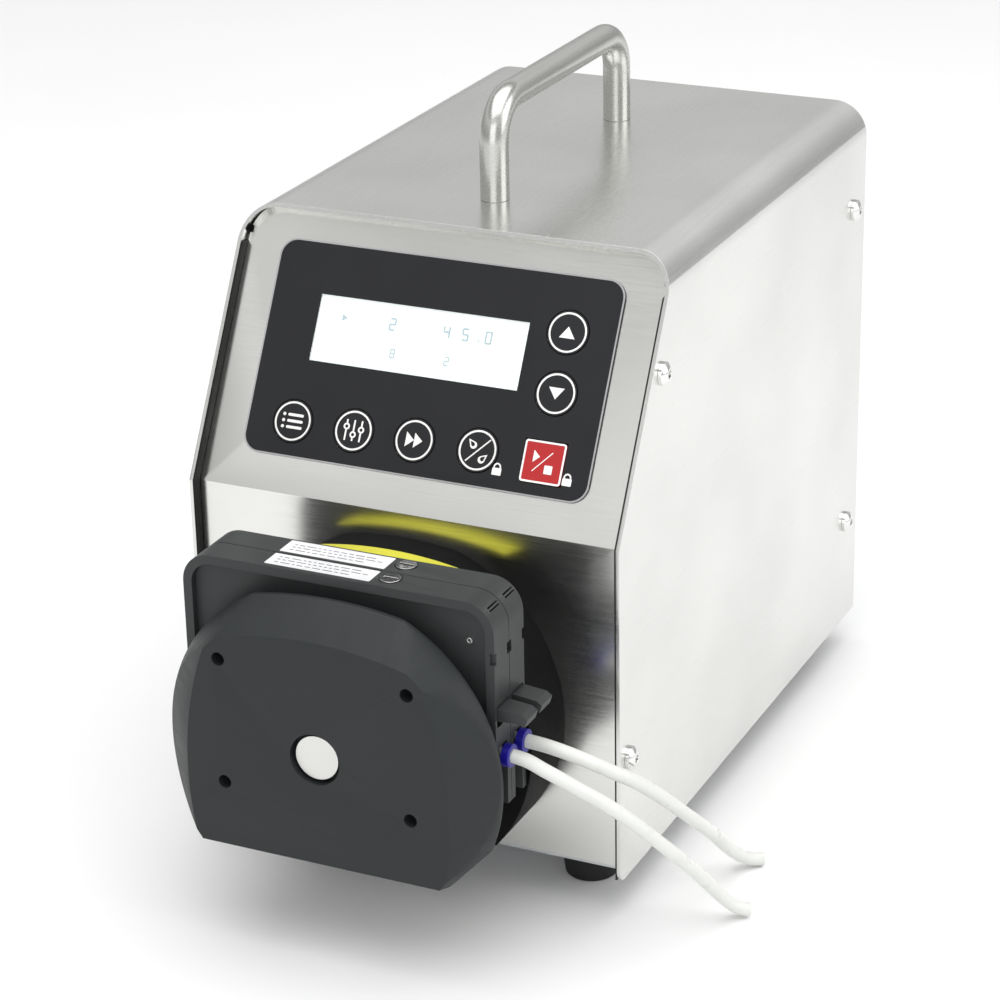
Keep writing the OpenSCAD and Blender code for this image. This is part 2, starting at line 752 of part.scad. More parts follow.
module cartridge(k) {
    inner = cart_half - cart_wall;
    ceiling = cart_top - cart_wall;
    in_cartridge(k) difference() {
        union() {
            // Rim: the top and the two sides
            plate_y(0, cart_w) difference() {
                intersection() {
                    rounded_rect([-cart_half, -90], [cart_half, cart_top], 10);
                    translate([-60, 6]) square([120, 80]);
                }
                rounded_rect([-inner, -90], [inner, ceiling], 7);
            }
            // Front and rear webs, open below the shoe
            for (y = [2.6, cart_w - 1.2]) plate_y(y, y + 1.2) difference() {
                translate([-inner - 0.1, 12]) square([2 * inner + 0.2, ceiling - 11.9]);
                translate([-36, -1]) square([72, 32.3]);
                translate([-27, -1]) square([54, 38]);
            }
            // Legs beside the tubing
            for (s = [-1, 1], y = [0, cart_w - 2.5])
                box([s * 49.5 - 3.5, y, -16], [s * 49.5 + 3.5, y + 2.5, 7]);
            // Guide of the adjusting screw and of the shoe
            box([adjuster_x - 5, 4.2, 42], [adjuster_x + 5, cart_w - 1.1, ceiling + 0.1]);
        }
        translate([adjuster_x, adjuster_y, 40]) cylinder(h = 20, r = shank_r + 0.35);
        translate([adjuster_x, adjuster_y, 47.2]) cylinder(h = 20, r = adjuster_r + 0.35);
        translate([adjuster_x, adjuster_y, cart_top - 0.8]) cylinder(h = 2, r = 3.7);
        // Dark slot across the top right corner
        translate([48.3, cart_w / 2 + 1, 48.8]) rotate([0, 45, 0]) cube([1.6, 6.4, 5], center = true);
        // Pockets in the right side
        for (y = [-1, cart_w - 1.4]) box([cart_half - 1.6, y, 34], [cart_half + 1, y + 2.4, 37.8]);
        // Seat of the release tab
        box([cart_half - 3.4, 1, 12.8], [cart_half + 1, cart_w - 1, 19.8]);
        rod_y(tab_pivot, 0.8 + run_fit, 0.2, cart_w - 0.2);
    }
}

module cartridge_front() { color([0.21, 0.22, 0.23]) cartridge(0); }
module cartridge_rear() { color([0.21, 0.22, 0.23]) cartridge(1); }

// Shoe that backs the tubing over the rollers
module pressure_shoe(k) {
    in_cartridge(k) {
        plate_y(0.9, cart_w - 0.9) difference() {
            translate([-19, 21]) square([38, 13.6]);
            circle(bed_r, $fn = 96);
            translate([-30, 20]) square([11.2, 4]);
            translate([18.8, 20]) square([11.2, 4]);
        }
        difference() {
            box([adjuster_x - 3.5, 4.1, 34.5], [adjuster_x + 3, 8.8, 41.2]);
            translate([adjuster_x, adjuster_y, 35.2]) cylinder(h = 10, r = shank_r + run_fit);
        }
    }
}

module pressure_shoe_front() { color("ivory") pressure_shoe(0); }
module pressure_shoe_rear() { color("ivory") pressure_shoe(1); }

module adjuster(k) {
    in_cartridge(k) translate([adjuster_x, adjuster_y, 0]) difference() {
        union() {
            translate([0, 0, 35.6]) cylinder(h = 12, r = shank_r);
            translate([0, 0, 47.5]) cylinder(h = cart_top - 0.7 - 47.4, r = adjuster_r);
            translate([0, 0, cart_top - 0.7]) cylinder(h = 1, r = 3.3);
        }
        translate([0, 0, cart_top - 0.6]) cube([4.6, 0.9, 2.4], center = true);
    }
}

module adjuster_front() { color("whitesmoke") adjuster(0); }
module adjuster_rear() { color("whitesmoke") adjuster(1); }

module release_tab(k) {
    in_cartridge(k) {
        plate_y(1.3, cart_w - 1.3) polygon([
            [cart_half - 3, 16], [cart_half - 3, 19.3], [cart_half + 1, 19.3], [61, 18.6],
            [62.8, 17.3], [62, 14.7], [59.4, 15.5], [cart_half + 0.6, 15]
        ]);
        rod_y(tab_pivot, 0.8, 0.3, cart_w - 0.3);
    }
}

module release_tab_front() { color([0.21, 0.22, 0.23]) release_tab(0); }
module release_tab_rear() { color([0.21, 0.22, 0.23]) release_tab(1); }

module tube_stops() {
    color([0.1, 0.08, 0.55]) for (k = [0, 1], s = [-1, 1]) in_cartridge(k)
        translate([s * (stop_x + stop_l / 2), channel_mid, exit_h]) rotate([0, 90, 0]) difference() {
            cylinder(h = stop_l, r = stop_r, center = true);
            cylinder(h = stop_l + 1, r = tube_d / 2, center = true);
        }
}

// Centreline of the tubing inside the head, drawn as (x, z): over the rollers, then down to the stop
function run_leg(t) =
    let (a = run_r * [cos(wrap_from), sin(wrap_from)],
         reach = (a[1] - exit_h) / cos(wrap_from),
         b = a + reach * [sin(wrap_from), -cos(wrap_from)],
         c = [stop_x - 0.3, exit_h])
    (1 - t) * (1 - t) * a + 2 * t * (1 - t) * b + t * t * c;
function run_half() = concat(
    [for (i = [0:6]) let (a = 90 - i * (90 - wrap_from) / 6) run_r * [cos(a), sin(a)]],
    [for (i = [1:8]) run_leg(i / 8)],
    [[stop_x + stop_l, exit_h]]
);
function run_squeeze() = concat(
    [for (i = [0:6]) squeeze_t / 2],
    [for (i = [1:9]) min(tube_d / 2, squeeze_t / 2 + i * (tube_d - squeeze_t) / 8)]
);
function mirrored(half) = concat(
    [for (i = [len(half) - 1:-1:1]) [-half[i][0], half[i][1]]], half
);
function mirrored_values(half) = concat([for (i = [len(half) - 1:-1:1]) half[i]], half);

function unit(v) = v / norm(v);
function tangent(p, i) = unit(p[min(i + 1, len(p) - 1)] - p[max(i - 1, 0)]);

// Tube along path; half[i] is its half-thickness across side and the tangent, and it widens where pressed
module sweep(path, half, side) {
    n = 10;
    m = len(path);
    points = [for (i = [0:m - 1]) let (
            t = tangent(path, i), across = unit(cross(side, t)), along = cross(t, across),
            half_width = tube_d / 2 + 0.6 * (tube_d / 2 - half[i]))
        for (j = [0:n - 1])
            path[i] + half[i] * cos(j * 360 / n) * across + half_width * sin(j * 360 / n) * along];
    faces = concat(
        [[for (j = [0:n - 1]) j]],
        [[for (j = [n - 1:-1:0]) (m - 1) * n + j]],
        [for (i = [0:m - 2], j = [0:n - 1])
            [i * n + j, (i + 1) * n + j, (i + 1) * n + (j + 1) % n, i * n + (j + 1) % n]]
    );
    polyhedron(points, faces);
}

module tube_runs() {
    color([0.93, 0.93, 0.9]) for (k = [0, 1]) in_cartridge(k)
        sweep([for (p = mirrored(run_half())) [p[0], channel_mid, p[1]]],
              mirrored_values(run_squeeze()), [0, 1, 0]);
}

module tube_tail(path) {
    color([0.95, 0.95, 0.92])
        sweep(path, [for (p = path) tube_d / 2], [0, 0, 1]);
}

module tube_tail_front() { tube_tail(tail_front); }
module tube_tail_rear() { tube_tail(tail_rear); }

top_cover();
front_panel();
rear_panel();
chassis_tray();
carry_handle();
handle_screws();
cover_screws();
rubber_feet();
foot_screws();
keypad_overlay();
display_window();
lcd_module();
control_board();
key_up();
key_down();
key_menu();
key_mode();
key_fast();
key_direction();
key_start_stop();
power_supply();
mains_inlet();
fuse_drawer();
switch_frame();
power_rocker();
control_port();
motor_housing();
motor_bracket();
gear_case();
motor_pinion();
output_gear();
drive_shaft();
head_rear_body();
head_screws();
tie_rods();
head_front_cover();
front_cover_screws();
shaft_bearings();
rotor_shaft();
rotor_front_disc();
rotor_rear_disc();
roller_pins();
roller_1();
roller_2();
roller_3();
roller_4();
roller_5();
roller_6();
cartridge_front();
cartridge_rear();
pressure_shoe_front();
pressure_shoe_rear();
adjuster_front();
adjuster_rear();
release_tab_front();
release_tab_rear();
tube_stops();
tube_runs();
tube_tail_front();
tube_tail_rear();
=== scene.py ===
import json
import math

import bmesh
import bpy
from mathutils import Matrix, Vector


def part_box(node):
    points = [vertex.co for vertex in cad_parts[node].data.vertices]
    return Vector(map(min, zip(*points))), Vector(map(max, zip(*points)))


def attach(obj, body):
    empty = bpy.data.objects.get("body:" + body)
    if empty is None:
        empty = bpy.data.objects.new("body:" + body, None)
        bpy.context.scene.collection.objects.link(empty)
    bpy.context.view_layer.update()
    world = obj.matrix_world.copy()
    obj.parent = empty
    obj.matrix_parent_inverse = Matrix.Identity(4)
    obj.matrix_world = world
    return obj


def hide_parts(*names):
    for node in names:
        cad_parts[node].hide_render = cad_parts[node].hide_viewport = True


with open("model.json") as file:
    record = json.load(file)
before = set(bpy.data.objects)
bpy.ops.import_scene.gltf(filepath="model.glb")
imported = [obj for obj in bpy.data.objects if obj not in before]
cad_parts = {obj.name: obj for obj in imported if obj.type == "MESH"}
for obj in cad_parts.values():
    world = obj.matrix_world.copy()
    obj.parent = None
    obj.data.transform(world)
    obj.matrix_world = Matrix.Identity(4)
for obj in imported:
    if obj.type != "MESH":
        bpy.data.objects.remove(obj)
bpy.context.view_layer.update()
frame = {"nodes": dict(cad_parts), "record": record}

MM = 0.001
NODES = frame["nodes"]
BODY_OF = {node: body for body, nodes in frame["record"]["behaviour"]["bodies"].items() for node in nodes}


def mm(*values):
    return Vector(values) * MM


# --- Camera: the photograph's viewing angle, from the front right and above ---

CAMERA_ANGLES = (25.40, 22.99, -1.14)  # azimuth, elevation and roll, in degrees
CAMERA_AT = (406.25, -864.84, 504.63)
FOCAL_LENGTH, SENSOR_WIDTH = 110.45, 36


def make_camera():
    azimuth, elevation, roll = (math.radians(a) for a in CAMERA_ANGLES)
    right = Vector((math.cos(azimuth), math.sin(azimuth), 0))
    back = Vector((math.sin(azimuth) * math.cos(elevation), -math.cos(azimuth) * math.cos(elevation),
                   math.sin(elevation)))
    up = back.cross(right)
    rolled_right = math.cos(roll) * right + math.sin(roll) * up
    rolled_up = -math.sin(roll) * right + math.cos(roll) * up
    data = bpy.data.cameras.new("camera")
    data.sensor_width = SENSOR_WIDTH
    data.lens = FOCAL_LENGTH
    camera = bpy.data.objects.new("camera", data)
    bpy.context.scene.collection.objects.link(camera)
    turn = Matrix((rolled_right, rolled_up, back)).transposed().to_4x4()
    camera.matrix_world = Matrix.Translation(mm(*CAMERA_AT)) @ turn
    bpy.context.scene.camera = camera


make_camera()


# --- Mesh tools: outlines are lists of (x, y) in mm, drawn in a plane given by a matrix in metres ---

def plane(origin, across, up):
    """Matrix from (across, up, out) in mm to the row frame in metres."""
    out = across.cross(up)
    turn = Matrix((across, up, out)).transposed().to_4x4()
    return Matrix.Translation(origin * MM) @ turn @ Matrix.Scale(MM, 4)


def finish_mesh(name, bm, material, body, replaces=(), bevel=0, sharp=32, segments=2):
    """Turns bm into a piece that rides on body, smooth up to the sharp angle, with small bevels."""
    bmesh.ops.recalc_face_normals(bm, faces=bm.faces)
    mesh = bpy.data.meshes.new(name)
    bm.to_mesh(mesh)
    bm.free()
    for polygon in mesh.polygons:
        polygon.use_smooth = True
    mesh.set_sharp_from_angle(angle=math.radians(sharp))
    mesh.materials.append(material)
    piece = bpy.data.objects.new(name, mesh)
    bpy.context.scene.collection.objects.link(piece)
    if bevel:
        add_bevel(piece, bevel, segments)
    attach(piece, body)
    if replaces:
        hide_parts(*replaces)
    return piece


BEVEL_ANGLE = 28  # degrees; edges flatter than this are not bevelled


def add_bevel(piece, width, segments=2):
    modifier = piece.modifiers.new("bevel", "BEVEL")
    modifier.width = width * MM
    modifier.segments = segments
    modifier.limit_method = "ANGLE"
    modifier.angle_limit = math.radians(BEVEL_ANGLE)
    modifier.harden_normals = True
    modifier.use_clamp_overlap = True


WELD_DISTANCE = 1e-6
FLAT_ANGLE = 0.6  # degrees; faces closer than this to one plane are joined


def refined(node, material, bevel=0.2, sharp=32, segments=2):
    """A copy of a CAD node, its flat faces joined and its edges softened, which replaces the node."""
    bm = bmesh.new()
    bm.from_mesh(NODES[node].data)
    bmesh.ops.remove_doubles(bm, verts=bm.verts, dist=WELD_DISTANCE)
    bmesh.ops.dissolve_limit(bm, angle_limit=math.radians(FLAT_ANGLE), verts=bm.verts, edges=bm.edges)
    return finish_mesh(node + "_skin", bm, material, BODY_OF[node], [node],
                       bevel, sharp, segments)


def dress(material, *nodes):
    """Gives CAD nodes that are shown as they are their finished material."""
    for node in nodes:
        NODES[node].data.materials.clear()
        NODES[node].data.materials.append(material)


def add_slab(bm, outline, low, high, place):
    """A thin solid over a filled outline."""
    bottom = [bm.verts.new(place @ Vector((x, y, low))) for x, y in outline]
    top = [bm.verts.new(place @ Vector((x, y, high))) for x, y in outline]
    bm.faces.new(bottom)
    bm.faces.new(top)
    for i in range(len(outline)):
        j = (i + 1) % len(outline)
        bm.faces.new((bottom[i], bottom[j], top[j], top[i]))


def add_band(bm, outer, inner, low, high, place):
    """A thin solid between two outlines with the same number of points."""
    count = len(outer)
    rings = [[bm.verts.new(place @ Vector((x, y, z))) for x, y in line]
             for line, z in ((outer, low), (outer, high), (inner, high), (inner, low))]
    for a in range(4):
        first, second = rings[a], rings[(a + 1) % 4]
        for i in range(count):
            j = (i + 1) % count
            bm.faces.new((first[i], first[j], second[j], second[i]))


def circle(radius, at=(0, 0), count=48):
    return [(at[0] + radius * math.cos(2 * math.pi * i / count),
             at[1] + radius * math.sin(2 * math.pi * i / count)) for i in range(count)]


def rounded(low, high, radius, steps=6):
    """A rectangle's outline with round corners."""
    points = []
    corners = (high[0], high[1]), (low[0], high[1]), (low[0], low[1]), (high[0], low[1])
    for corner, (x, y) in enumerate(corners):
        cx = x - radius if x == high[0] else x + radius
        cy = y - radius if y == high[1] else y + radius
        for i in range(steps + 1):
            angle = math.radians(90 * corner + 90 * i / steps)
            points.append((cx + radius * math.cos(angle), cy + radius * math.sin(angle)))
    return points


def moved(outline, dx, dy):
    return [(x + dx, y + dy) for x, y in outline]


def stroke(points, width):
    """Outline of a line of that width through the points."""
    left, right = [], []
    for i, point in enumerate(points):
        before, after = points[max(i - 1, 0)], points[min(i + 1, len(points) - 1)]
        dx, dy = after[0] - before[0], after[1] - before[1]
        size = math.hypot(dx, dy)
        nx, ny = -dy / size * width / 2, dx / size * width / 2
        left.append((point[0] + nx, point[1] + ny))
        right.append((point[0] - nx, point[1] - ny))
    return left + right[::-1]


TUBE_SIDES = 24


def sweep_tube(bm, path, outer, inner):
    """A hollow tube along a path in metres, turned as little as possible from ring to ring."""
    count = TUBE_SIDES
    rings = []
    side = Vector((0, 0, 1))
    for i, point in enumerate(path):
        tangent = (path[min(i + 1, len(path) - 1)] - path[max(i - 1, 0)]).normalized()
        side = (side - side.dot(tangent) * tangent).normalized()
        across = tangent.cross(side)
        rings.append([[bm.verts.new(point + radius * (math.cos(2 * math.pi * j / count) * side
                                                       + math.sin(2 * math.pi * j / count) * across))
                       for j in range(count)] for radius in (outer, inner)])
    for ring, following in zip(rings, rings[1:]):
        for near, far in zip(ring, following):
            for j in range(count):
                k = (j + 1) % count
                bm.faces.new((near[j], near[k], far[k], far[j]))
    for end in (rings[0], rings[-1]):
        for j in range(count):
            k = (j + 1) % count
            bm.faces.new((end[0][j], end[0][k], end[1][k], end[1][j]))


def smooth_path(points, steps=5):
    """Points along a smooth curve through the given ones."""
    points = [mm(*p) for p in points]
    path = []
    for i in range(len(points) - 1):
        p0, p1 = points[max(i - 1, 0)], points[i]
        p2, p3 = points[i + 1], points[min(i + 2, len(points) - 1)]
        for step in range(steps):
            t = step / steps
            path.append(0.5 * (2 * p1 + (p2 - p0) * t + (2 * p0 - 5 * p1 + 4 * p2 - p3) * t * t
                               + (3 * p1 - p0 - 3 * p2 + p3) * t * t * t))
    return path + [points[-1]]


# --- Materials: every one is procedural, in the row frame's metres ---

NOISE_RANGE = (0.35, 0.65)  # where most of a noise texture's values lie


class Finish:
    """A Principled material with helpers for the noise that drives its colour, roughness and bump."""

    def __init__(self, name, color, roughness, metallic=0.0, **sockets):
        self.material = bpy.data.materials.new(name)
        self.material.use_nodes = True
        self.nodes = self.material.node_tree.nodes
        self.links = self.material.node_tree.links
        self.shader = self.nodes["Principled BSDF"]
        self.color = color
        self.shader.inputs["Base Color"].default_value = (*color, 1)
        self.shader.inputs["Roughness"].default_value = roughness
        self.shader.inputs["Metallic"].default_value = metallic
        for socket, value in sockets.items():
            self.shader.inputs[socket.replace("_", " ")].default_value = value

    def noise(self, scale, detail=3.0, rough=0.55):
        """Noise whose grain is 1/scale metres along X, Y and Z."""
        coordinates = self.nodes.new("ShaderNodeTexCoord")
        mapping = self.nodes.new("ShaderNodeMapping")
        mapping.inputs["Scale"].default_value = scale if hasattr(scale, "__len__") else (scale,) * 3
        texture = self.nodes.new("ShaderNodeTexNoise")
        texture.inputs["Scale"].default_value = 1
        texture.inputs["Detail"].default_value = detail
        texture.inputs["Roughness"].default_value = rough
        self.links.new(coordinates.outputs["Object"], mapping.inputs["Vector"])
        self.links.new(mapping.outputs["Vector"], texture.inputs["Vector"])
        return texture.outputs["Fac"]

    def spread(self, source, low, high):
        """A noise stretched to the range low to high."""
        node = self.nodes.new("ShaderNodeMapRange")
        node.inputs["From Min"].default_value = NOISE_RANGE[0]
        node.inputs["From Max"].default_value = NOISE_RANGE[1]
        node.inputs["To Min"].default_value = low
        node.inputs["To Max"].default_value = high
        self.links.new(source, node.inputs["Value"])
        return node.outputs["Result"]

    def vary_roughness(self, source, low, high):
        self.links.new(self.spread(source, low, high), self.shader.inputs["Roughness"])

    def vary_color(self, source, dark, light):
        """Mixes the base colour between dark and light times itself."""
        mix = self.nodes.new("ShaderNodeMix")
        mix.data_type = "RGBA"
        mix.inputs["A"].default_value = (*(c * dark for c in self.color), 1)
        mix.inputs["B"].default_value = (*(min(1, c * light) for c in self.color), 1)
        self.links.new(self.spread(source, 0, 1), mix.inputs["Factor"])
        self.links.new(mix.outputs["Result"], self.shader.inputs["Base Color"])

    def bump(self, source, strength, distance):
        node = self.nodes.new("ShaderNodeBump")
        node.inputs["Strength"].default_value = strength
        node.inputs["Distance"].default_value = distance
        self.links.new(source, node.inputs["Height"])
        self.links.new(node.outputs["Normal"], self.shader.inputs["Normal"])


BRUSHING_DEPTH = 0.00002
GRAIN_DEPTH = 0.00005


def brushed(name, color, rough, grain, bump=0.12, spread=0.07):
    """Brushed steel; grain is the noise scale, small along the brushing."""
    finish = Finish(name, color, rough, metallic=1.0)
    streaks = finish.noise(grain, detail=4.0, rough=0.7)
    cloud = finish.noise(14, detail=2.0)
    finish.vary_roughness(streaks, rough - spread, rough + spread)
    finish.vary_color(cloud, 0.95, 1.04)
    finish.bump(streaks, bump, BRUSHING_DEPTH)
    return finish.material


def moulded(name, color, rough, grain=2600, bump=0.25, **sockets):
    """Moulded plastic with a fine spark-eroded texture and a slight variation in tone and gloss."""
    finish = Finish(name, color, rough, **sockets)
    texture = finish.noise(grain, detail=2.0)
    cloud = finish.noise(45, detail=3.0)
    finish.vary_roughness(cloud, rough - 0.05, rough + 0.06)
    finish.vary_color(cloud, 0.93, 1.07)
    finish.bump(texture, bump, GRAIN_DEPTH)
    return finish.material


STEEL_COVER = brushed("steel_cover", (0.73, 0.73, 0.712), 0.24, (2600, 40, 2600), 0.035, 0.04)
STEEL_PANEL = brushed("steel_panel", (0.76, 0.76, 0.735), 0.22, (40, 2600, 2600), 0.035, 0.04)
STEEL_ZINC = brushed("steel_zinc", (0.62, 0.63, 0.65), 0.34, (300, 300, 300), 0.05)
STEEL_HANDLE = brushed("steel_handle", (0.54, 0.54, 0.52), 0.26, (2600, 40, 2600), 0.03)
STEEL_SCREW = brushed("steel_screw", (0.78, 0.78, 0.77), 0.12, (900, 900, 900), 0.03, 0.03)
STEEL_SHAFT = brushed("steel_shaft", (0.70, 0.70, 0.675), 0.36, (900, 900, 60), 0.02, 0.03)
STEEL_DARK = brushed("steel_dark", (0.03, 0.03, 0.032), 0.45, (900, 900, 900), 0.05)
BRASS = brushed("brass", (0.78, 0.58, 0.28), 0.25, (900, 900, 900), 0.08)
ALUMINIUM = brushed("aluminium_cast", (0.6, 0.6, 0.6), 0.45, (900, 900, 900), 0.3)
RUBBER = moulded("rubber", (0.010, 0.010, 0.010), 0.6, 900, 0.3, IOR=1.4)
FILM = moulded("keypad_film", (0.013, 0.0135, 0.0155), 0.5, 4200, 0.08, IOR=1.34)
KEY_DARK = moulded("key_film", (0.0145, 0.015, 0.017), 0.48, 4200, 0.08, IOR=1.34)
KEY_RED = moulded("key_red", (0.42, 0.020, 0.022), 0.45, 4200, 0.08, IOR=1.38)
INK_WHITE = moulded("ink_white", (0.84, 0.84, 0.83), 0.5, 5000, 0.05)
# Painted highlight: a light grey for the keypad film's edge, where the edge catches the light
PAINTED_RIM_HIGHLIGHT = moulded("film_rim_painted_highlight", (0.34, 0.34, 0.35), 0.32, 4200, 0.08)
PLASTIC_BLACK = moulded("plastic_black", (0.012, 0.012, 0.013), 0.42)
HEAD_BLACK = moulded("head_black", (0.003, 0.003, 0.0033), 0.6, IOR=1.3, Specular_IOR_Level=0.2)
HEAD_GREY = moulded("head_grey", (0.0195, 0.0222, 0.0232), 0.5, IOR=1.36)
CARTRIDGE = moulded("cartridge_grey", (0.033, 0.0355, 0.0365), 0.46, IOR=1.4)
MOTOR = moulded("motor_paint", (0.04, 0.04, 0.045), 0.4)
ACETAL = moulded("acetal", (0.72, 0.70, 0.64), 0.42)
NYLON = moulded("nylon", (0.75, 0.75, 0.73), 0.45)
STOP_BLUE = moulded("stop_blue", (0.012, 0.008, 0.26), 0.28, 1500, 0.15)
LABEL = moulded("label_white", (0.76, 0.76, 0.77), 0.4, 3000, 0.05)
LABEL_PRINT = moulded("label_print", (0.14, 0.14, 0.15), 0.45, 3000, 0.05)
LABEL_YELLOW = moulded("label_yellow", (0.60, 0.57, 0.03), 0.42, 3000, 0.05)
BOARD = moulded("circuit_board", (0.02, 0.13, 0.05), 0.3, 500, 0.4)


def display_materials():
    glass = Finish("display_glass", (0.96, 0.98, 0.98), 0.06, Transmission_Weight=1.0, IOR=1.2)
    glass.vary_roughness(glass.noise(800), 0.04, 0.10)
    # Painted glow: the screen and its figures emit a little light, which brightens them beyond the light
    # falling on them
    screen = Finish("display_white", (0.80, 0.83, 0.82), 0.6, Emission_Strength=0.42)
    screen.shader.inputs["Emission Color"].default_value = (0.95, 0.98, 0.97, 1)
    screen.vary_color(screen.noise(60), 0.98, 1.02)
    screen.bump(screen.noise(3000), 0.05, BRUSHING_DEPTH)
    mark = Finish("display_mark", (0.46, 0.54, 0.58), 0.6, Emission_Strength=0.2)
    mark.shader.inputs["Emission Color"].default_value = (0.78, 0.88, 0.92, 1)
    mark.vary_color(mark.noise(60), 0.97, 1.03)
    return glass.material, screen.material, mark.material


DISPLAY_GLASS, DISPLAY_WHITE, DISPLAY_MARK = display_materials()


def tubing_material():
    tubing = Finish("tubing", (0.69, 0.70, 0.67), 0.26, IOR=1.41)
    tubing.vary_roughness(tubing.noise(160), 0.26, 0.36)
    tubing.vary_color(tubing.noise(60), 0.97, 1.02)
    return tubing.material


TUBING = tubing_material()


# --- Cords: the two free tails of the pump tubing ---

TAIL_FRONT = [
    (56.1, -121.85, 72.3), (61, -121.8, 71.5), (66, -121, 69), (71, -120, 66.5), (76, -118, 63),
    (81, -115, 59), (86, -110, 53), (90.5, -105, 46.5), (94.5, -99, 39), (98, -92, 31),
    (101, -85, 23), (103.5, -79, 15.5), (106, -74.3, 9.3), (108.3, -71, 5.2), (110.5, -68.7, 3.1),
    (112.5, -67.3, 2.4),
]
TAIL_REAR = [
    (56.1, -111.25, 72.3), (61.5, -111.2, 71.9), (67, -110.8, 70.9), (72, -109.8, 69.3), (77, -108, 67),
    (82, -104, 63), (86, -98, 58), (89.5, -91, 51.5), (92, -83, 44), (94, -75, 36.5),
    (95.5, -66, 28.5), (96.5, -57, 20.5), (97, -49, 13), (98.5, -43.5, 7.5), (100.5, -39.5, 4.2),
    (102.8, -36.8, 2.7), (105, -35, 2.35),
]
TUBE_R, BORE_R = 2.2, 1.3


def make_tail(name, route):
    path = smooth_path(route)
    bm = bmesh.new()
    sweep_tube(bm, path, TUBE_R * MM, BORE_R * MM)
    piece = finish_mesh(name + "_hose", bm, TUBING, "housing", [name], sharp=50)


make_tail("tube_tail_front", TAIL_FRONT)
make_tail("tube_tail_rear", TAIL_REAR)


# --- Housing ---

refined("top_cover", STEEL_COVER, 0.3)
refined("front_panel", STEEL_PANEL, 0.25)
refined("rear_panel", STEEL_ZINC, 0.2)
refined("chassis_tray", STEEL_ZINC, 0.2)
refined("carry_handle", STEEL_HANDLE, 0.2, sharp=40)
refined("cover_screws", STEEL_SCREW, 0.15)
refined("rubber_feet", RUBBER, 0.7, segments=3)
dress(STEEL_SCREW, "handle_screws", "foot_screws", "head_screws")
dress(STEEL_ZINC, "power_supply", "motor_bracket")
dress(BOARD, "control_board")
dress(MOTOR, "motor_housing")
dress(ALUMINIUM, "gear_case")
dress(BRASS, "motor_pinion", "output_gear")
dress(STEEL_SHAFT, "drive_shaft", "roller_pins", "shaft_bearings", "tie_rods")
refined("mains_inlet", PLASTIC_BLACK, 0.4)
refined("fuse_drawer", PLASTIC_BLACK, 0.3)
refined("switch_frame", PLASTIC_BLACK, 0.4)
refined("power_rocker", PLASTIC_BLACK, 0.4)
refined("control_port", STEEL_SCREW, 0.2)


# --- Keypad ---

SLOPE_SET_BACK, SLOPE_RISE = 45.5, 81
LEAN = math.atan(SLOPE_SET_BACK / SLOPE_RISE)
OVERLAY_LOW, OVERLAY_T = 11.7, 0.8
KEY_TOP = 0.95
PRINT_T = 0.05
pad_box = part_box("keypad_overlay")
SLOPE = plane(Vector((0,
                      pad_box[0].y / MM - OVERLAY_LOW * math.sin(LEAN) + OVERLAY_T * math.cos(LEAN),
                      pad_box[0].z / MM - OVERLAY_LOW * math.cos(LEAN))),
              Vector((1, 0, 0)), Vector((0, math.sin(LEAN), math.cos(LEAN))))


# Painted shade: thin black strips inside the side flanges stand in for the shadow of the narrow recess
SHADE_STRIP_T, SHADE_STRIP_CLEAR, SHADE_STRIP_FRONT = 0.7, 0.1, 0.5
SHADE_STRIP_BOTTOM, SHADE_STRIP_TOP = 0.8, 12.5  # in from the cover's bottom and top
FLANGE_INNER = 1.25


def make_painted_shade_strips():
    """Black strips of painted shade that line the cover's two side flanges, in front of the panel, where
    the narrow recess falls into shadow.
    """
    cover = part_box("top_cover")
    front, bottom, top = cover[0].y / MM, cover[0].z / MM, cover[1].z / MM
    panel_y, panel_z = SLOPE.translation.y / MM, SLOPE.translation.z / MM
    ends = bottom + SHADE_STRIP_BOTTOM, top - SHADE_STRIP_TOP
    inner_x = cover[1].x / MM - FLANGE_INNER
    bm = bmesh.new()
    outline = []
    for set_back, order in ((SHADE_STRIP_FRONT, 1), (panel_y - front - SHADE_STRIP_CLEAR, -1)):
        crease = panel_z + (panel_y - front - set_back) * math.tan(LEAN / 2)
        line = [(front + set_back, ends[0]), (front + set_back, crease),
                (front + set_back + (ends[1] - crease) * math.tan(LEAN), ends[1])]
        outline += line[::order]
    for side in (-1, 1):
        place = Matrix(((0, 0, side, 0), (1, 0, 0, 0), (0, 1, 0, 0), (0, 0, 0, 1))) @ Matrix.Scale(MM, 4)
        add_slab(bm, outline, inner_x - SHADE_STRIP_T, inner_x, place)
    finish_mesh("painted_shade_strips", bm, RUBBER, "housing", bevel=0.1)


def drop(size):
    """Outline of a drop with its tip up."""
    points = [(0, size)]
    for i in range(17):
        angle = math.radians(35 - i * 250 / 16)
        points.append((size * 0.62 * math.cos(angle), -0.35 * size + size * 0.62 * math.sin(angle)))
    return points


def turned(outline, degrees):
    c, s = math.cos(math.radians(degrees)), math.sin(math.radians(degrees))
    return [(c * x - s * y, s * x + c * y) for x, y in outline]


def triangle(width, height, turn=0):
    points = [(-width / 2, -height / 2), (width / 2, -height / 2), (0, height / 2)]
    return turned(points, turn)


def scaled(outline, factor):
    return [(x * factor, y * factor) for x, y in outline]


def mark_lines():
    """Three lines of a list, each with its dot."""
    filled = []
    for y in (2, 0, -2):
        filled.append(moved(rounded((-2, -0.45), (3.6, 0.45), 0.4, 3), 0, y))
        filled.append(circle(0.55, (-3.3, y), 12))
    return filled, []


